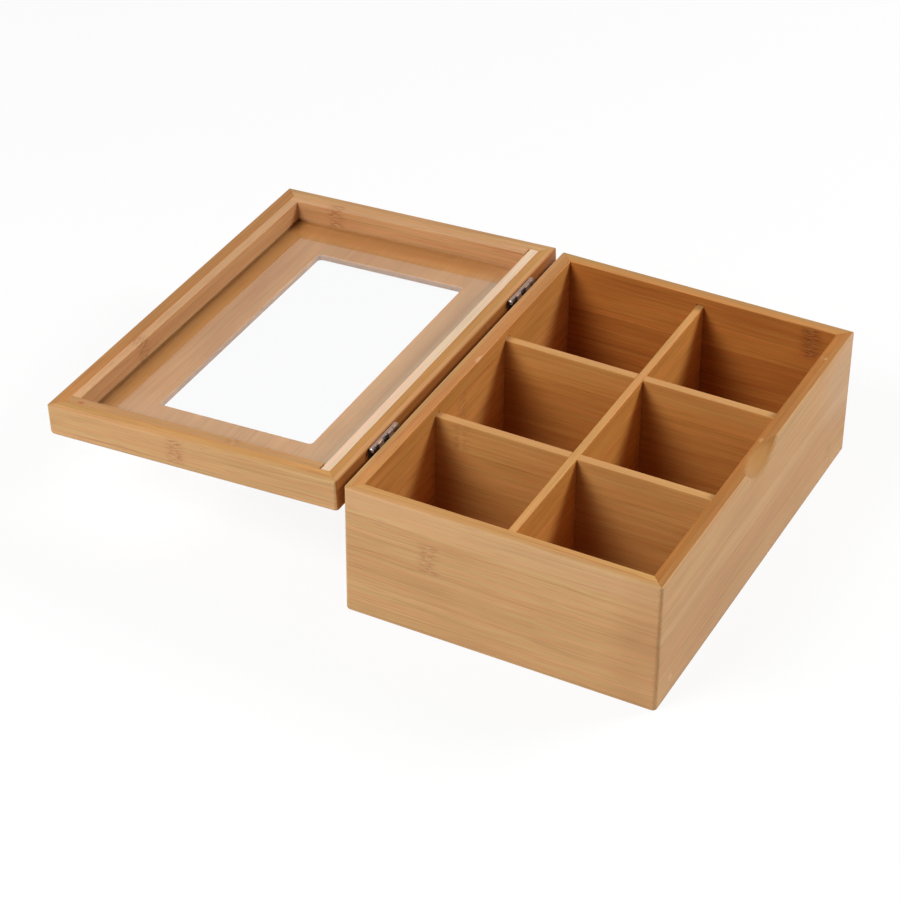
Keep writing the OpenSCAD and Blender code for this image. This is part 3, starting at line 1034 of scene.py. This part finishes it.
def strips():
    half_x = INNER_WIDTH / 2
    half_y = INNER_LENGTH / 2
    bottom = LID_Z
    top = LID_Z + STRIP_H
    back_end = -half_x + STRIP_W + STRIP_END_GAP
    places = {
        "front": (
            (half_x - STRIP_W, STRIP_W - half_y, bottom),
            (half_x, half_y - STRIP_W, top),
            -X,
        ),
        "back": ((-half_x, -half_y, bottom), (STRIP_W - half_x, half_y, top), X),
        "left": ((back_end, -half_y, bottom), (half_x, STRIP_W - half_y, top), Y),
        "right": ((back_end, half_y - STRIP_W, bottom), (half_x, half_y, top), -Y),
    }
    for number, (side, (low, high, inwards)) in enumerate(places.items()):
        node = side + "_pane_strip"
        low, high = Vector(low), Vector(high)
        piece = strip(node + "_wood", low, high, inwards)
        outer_side = low if inwards.x + inwards.y > 0 else high
        origin = outer_side * abs_of(inwards) + bottom * Z
        pale = side == "back"
        face = PALE_FACE if pale else STRIP_FACE
        material = bamboo(
            node + "_bamboo",
            origin,
            Z,
            inwards,
            turn=LID_TURN,
            strip=30,
            first=25,
            ply=ONE_LAYER,
            thick=STRIP_W / MM,
            roll=0.4,
            face=face,
            inside=face,
            edges=STRIP_EDGES[side],
            fibres=0.35 if pale else 1.0,
            joints=STRIP_JOINTS.get(side, ()),
            spots=STRIP_STAINS.get(side, ()),
            seed=40 + number,
        )
        finish(piece, node, material)


def pane():
    """The pane keeps the frame's shape."""
    node = frame["nodes"]["window_pane"]
    node.data.materials.clear()
    node.data.materials.append(clear_pane())


def lathe(name, axis, profile, closed=False):
    """A turned piece. profile gives places along the axis and distances from it, in millimetres."""
    points = [(along * axis + out * Z) * MM for along, out in profile]
    if closed:
        points.append(points[0])
    bpy.ops.object.select_all(action="DESELECT")
    bpy.ops.mesh.primitive_plane_add(size=MM, location=points[0])
    piece = bpy.context.object
    piece.name = name
    piece.data.name = name
    bpy.ops.object.transform_apply(location=True, rotation=True, scale=True)
    edit(piece, "VERT")
    bpy.ops.mesh.select_all(action="SELECT")
    bpy.ops.mesh.merge(type="CENTER")
    for last, point in zip(points, points[1:]):
        bpy.ops.mesh.extrude_vertices_move(TRANSFORM_OT_translate={"value": point - last})
    bpy.ops.mesh.select_all(action="SELECT")
    bpy.ops.mesh.spin(steps=TURN_STEPS, angle=2 * math.pi, center=(0, 0, 0), axis=axis)
    bpy.ops.mesh.select_all(action="SELECT")
    bpy.ops.mesh.remove_doubles(threshold=0.001 * MM)
    bpy.ops.mesh.normals_make_consistent(inside=False)
    leave_edit()
    return piece


def knuckle_start(number):
    return -HINGE_LENGTH / 2 + number * KNUCKLE_PITCH


def knuckle_tool(number):
    """One rolled knuckle: a tube with softened ends."""
    low = (knuckle_start(number) + KNUCKLE_GAP / 2) / MM
    high = low + (KNUCKLE_PITCH - KNUCKLE_GAP) / MM
    bore = BORE_R / MM
    radius = KNUCKLE_R / MM
    soft = LEAF_SOFT / MM
    profile = (
        (low, bore),
        (low, radius - soft),
        (low + soft / 3, radius - soft / 3),
        (low + soft, radius),
        (high - soft, radius),
        (high - soft / 3, radius - soft / 3),
        (high, radius - soft),
        (high, bore),
    )
    return lathe("knuckle_tool", Y, profile, closed=True)


def countersink_tool(y):
    """Hole for a screw through a leaf."""
    near_x = LEAF_NEAR / MM
    far_x = LEAF_FAR / MM
    wide = SCREW_HEAD_R / MM
    narrow = SCREW_HOLE_R / MM
    profile = (
        (near_x - 1, 0),
        (near_x - 1, wide),
        (near_x, wide),
        (far_x, narrow),
        (far_x + 1, narrow),
        (far_x + 1, 0),
    )
    tool = lathe("countersink_tool", X, profile)
    return placed(tool, Matrix.Translation((0, y, -SCREW_DROP)))


def hinge_leaf(name, parity):
    """Leaf that hangs down from the pin, with every second knuckle, and room for the others."""
    half = HINGE_LENGTH / 2
    piece = block(name, (LEAF_NEAR, -half, -LEAF_DROP), (LEAF_FAR, half, -LEAF_START))

    def low_corner(a, b):
        return near(a.y, b.y) and near(a.z, b.z) and near(a.z, -LEAF_DROP)

    def outer_rim(a, b):
        low = min(a.z, b.z) < -LEAF_START - MM / 10
        return low and near(a.x, b.x) and near(a.x, LEAF_NEAR)

    round_edges(piece, low_corner, LEAF_CORNER, 5)
    round_edges(piece, outer_rim, LEAF_SOFT, 2)
    for number in range(KNUCKLES):
        start = knuckle_start(number)
        end = start + KNUCKLE_PITCH
        if number % 2 == parity:
            tongue = block(
                "tongue_tool",
                (LEAF_NEAR, start + KNUCKLE_GAP / 2, -KNUCKLE_R),
                (KNUCKLE_R, end - KNUCKLE_GAP / 2, 0),
            )
            knuckle = knuckle_tool(number)
            join_on(piece, tongue, knuckle)
            put_away(tongue, knuckle)
        else:
            room = block(
                "room_tool",
                (-ROOM_R, start - KNUCKLE_GAP / 2, -ROOM_R),
                (LEAF_FAR + MM, end + KNUCKLE_GAP / 2, ROOM_R),
            )
            cut_away(piece, room)
            put_away(room)
    for side in (-1, 1):
        hole = countersink_tool(side * SCREW_SPREAD)
        cut_away(piece, hole)
        put_away(hole)
    return piece


def hinge_pin(name):
    """Pin with a round head at the left end and a plain one at the right."""
    left = -HINGE_LENGTH / MM / 2 + 0.1
    right = HINGE_LENGTH / MM / 2 + 0.4
    radius = PIN_R / MM
    profile = (
        (left - 0.70, 0),
        (left - 0.66, 0.45),
        (left - 0.50, 0.90),
        (left - 0.25, 1.18),
        (left, PIN_HEAD_R / MM),
        (left, radius),
        (right - 0.1, radius),
        (right, radius - 0.1),
        (right, 0),
    )
    return lathe(name, Y, profile)


def hinge_screw(name):
    """Countersunk screw with a slightly domed head and a cross slot, along +X."""
    head = LEAF_NEAR / MM
    tip = head + SCREW_LENGTH / MM
    shank = SCREW_SHANK_R / MM
    profile = (
        (head - 0.35, 0),
        (head - 0.30, 0.65),
        (head - 0.17, 1.20),
        (head - 0.04, 1.60),
        (head, SCREW_HEAD_R / MM),
        (LEAF_FAR / MM, shank),
        (tip - 0.4, shank),
        (tip, shank - 0.3),
        (tip, 0),
    )
    piece = lathe(name, X, profile)
    for half_y, half_z in ((SCREW_SLOT_LONG, SCREW_SLOT_WIDE), (SCREW_SLOT_WIDE, SCREW_SLOT_LONG)):
        slot = block(
            "slot_tool",
            (LEAF_NEAR - MM, -half_y, -half_z),
            (LEAF_NEAR + SCREW_SLOT_DEEP, half_y, half_z),
        )
        cut_away(piece, slot)
        put_away(slot)
    return piece


def screw_pair(name):
    """The two screws of a leaf, turned as they happened to be driven in."""
    pair = []
    for y, angle in ((SCREW_SPREAD, 25), (-SCREW_SPREAD, 65)):
        turn = Matrix.Rotation(math.radians(angle), 4, "X")
        screw = placed(hinge_screw(name), Matrix.Translation((0, y, -SCREW_DROP)) @ turn)
        pair.append(screw)
    pick(pair[0])
    pair[1].select_set(True)
    bpy.ops.object.join()
    return pair[0]


def hinges():
    """Both hinges: one set of pieces is made, and each place gets a copy of it."""
    upside_down = Matrix.Rotation(math.pi, 4, "X")
    screw_metal = antique_metal("screw_bronze_metal", *SCREW_TONES, 0.45)
    pin_metal = antique_metal("pin_steel_metal", *PIN_TONES, 0.38)
    box_leaf = hinge_leaf("box_leaf_model", 1)
    lid_leaf = hinge_leaf("lid_leaf_model", 0)
    pin = hinge_pin("pin_model")
    screws = screw_pair("screws_model")
    for side in ("left", "right"):
        low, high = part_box(side + "_hinge_box_leaf")
        place = Matrix.Translation((PIN.x, (low.y + high.y) / 2, PIN.z))
        lid_place = LID_TURN @ place @ upside_down
        box_leaf_metal = barrel_metal(side + "_box_leaf_metal", place, BOX_LEAF_TONES)
        lid_leaf_metal = barrel_metal(side + "_lid_leaf_metal", place, LID_LEAF_TONES)
        kinds = {
            "box_leaf": (box_leaf, place, box_leaf_metal),
            "lid_leaf": (lid_leaf, lid_place, lid_leaf_metal),
            "pin": (pin, place, pin_metal),
            "box_screws": (screws, place, screw_metal),
            "lid_screws": (screws, lid_place, screw_metal),
        }
        for kind, (model, matrix, metal) in kinds.items():
            node = f"{side}_hinge_{kind}"
            piece = placed(copy_of(model, node + "_metal"), matrix)
            finish(piece, node, metal)
    put_away(box_leaf, lid_leaf, pin, screws)


# The camera of the photograph
LOOK_FROM = Vector((0.46904, -1.07771, 0.88454))
LOOK_AT = Vector((-0.05393, -0.06543, 0.07))
ROLL = math.radians(0.376)
FOCAL_LENGTH = 116.23

# The floor and the sky are white to the camera, in reflections and through the pane. The floor
# keeps some of its own shading, so that the object's shadow shows on it.
FLOOR_SIZE = 8.0
FLOOR_GLOW = 0.88
SKY_LIGHT = 0.15


def seen_ray(tree, straight):
    """1 for rays seen through the pane, straight for those seen directly or in a reflection, and 0
    for those that light the wood."""
    path = tree.nodes.new("ShaderNodeLightPath")

    def math_node(operation, first, second):
        node = tree.nodes.new("ShaderNodeMath")
        node.operation = operation
        tree.links.new(first, node.inputs[0])
        if isinstance(second, float):
            node.inputs[1].default_value = second
        else:
            tree.links.new(second, node.inputs[1])
        return node.outputs[0]

    seen = math_node("MAXIMUM", path.outputs["Is Camera Ray"], path.outputs["Is Glossy Ray"])
    seen = math_node("MULTIPLY", seen, straight)
    seen = math_node("MAXIMUM", seen, path.outputs["Is Transmission Ray"])
    lighting = math_node("LESS_THAN", path.outputs["Diffuse Depth"], 0.5)
    return math_node("MULTIPLY", seen, lighting)


def floor_paper():
    g = Graph("floor_paper")
    place = g.vector("MULTIPLY", g.object_place(), (1000, 1000, 1000))
    tooth = g.noise(g.vector("MULTIPLY", place, (0.8, 0.8, 0.8)), 2.0, 0.5)
    g.feed(g.shader.inputs["Base Color"], g.mix(tooth, srgb(249, 249, 249), srgb(253, 253, 253)))
    g.feed(g.shader.inputs["Roughness"], 0.9)
    g.feed(g.shader.inputs["Specular IOR Level"], 0.0)
    glow = g.add("ShaderNodeEmission")
    both = g.add("ShaderNodeMixShader")
    g.feed(both.inputs["Fac"], seen_ray(g.tree, FLOOR_GLOW))
    g.feed(both.inputs[1], g.shader.outputs[0])
    g.feed(both.inputs[2], glow.outputs[0])
    g.feed(g.output.inputs["Surface"], both.outputs[0])
    return g.material


def studio_floor():
    bpy.ops.object.select_all(action="DESELECT")
    bpy.ops.mesh.primitive_plane_add(size=FLOOR_SIZE)
    floor = bpy.context.object
    floor.name = "floor"
    floor.data.materials.append(floor_paper())


def studio_sky():
    world = bpy.data.worlds.new("studio")
    bpy.context.scene.world = world
    world.use_nodes = True
    tree = world.node_tree
    sky = tree.nodes["Background"]
    sky.inputs["Color"].default_value = (1, 1, 1, 1)
    sky.inputs["Strength"].default_value = SKY_LIGHT
    white = tree.nodes.new("ShaderNodeBackground")
    both = tree.nodes.new("ShaderNodeMixShader")
    tree.links.new(seen_ray(tree, 1.0), both.inputs["Fac"])
    tree.links.new(sky.outputs[0], both.inputs[1])
    tree.links.new(white.outputs[0], both.inputs[2])
    tree.links.new(both.outputs[0], tree.nodes["World Output"].inputs["Surface"])


def lamp(name, place, size, power):
    """Soft square lamp that points at the object."""
    data = bpy.data.lights.new(name, "AREA")
    data.shape = "SQUARE"
    data.size = size
    data.energy = power
    thing = bpy.data.objects.new(name, data)
    thing.location = place
    thing.rotation_euler = (LOOK_AT - Vector(place)).to_track_quat("-Z", "Y").to_euler()
    bpy.context.collection.objects.link(thing)


def camera():
    data = bpy.data.cameras.new("camera")
    data.lens = FOCAL_LENGTH
    data.sensor_width = 36
    thing = bpy.data.objects.new("camera", data)
    aim = (LOOK_AT - LOOK_FROM).to_track_quat("-Z", "Y").to_matrix().to_4x4()
    thing.matrix_world = Matrix.Translation(LOOK_FROM) @ aim @ Matrix.Rotation(ROLL, 4, "Z")
    bpy.context.collection.objects.link(thing)
    bpy.context.scene.camera = thing


camera()
walls()
base()
dividers()
rails()
lid_panel()
strips()
pane()
hinges()
studio_floor()
studio_sky()
lamp("key_lamp", (-0.60, -1.05, 1.15), 0.7, 20)
lamp("fill_lamp", (0.88, 0.82, 0.98), 0.5, 16)
bpy.context.scene.view_settings.view_transform = "Standard"
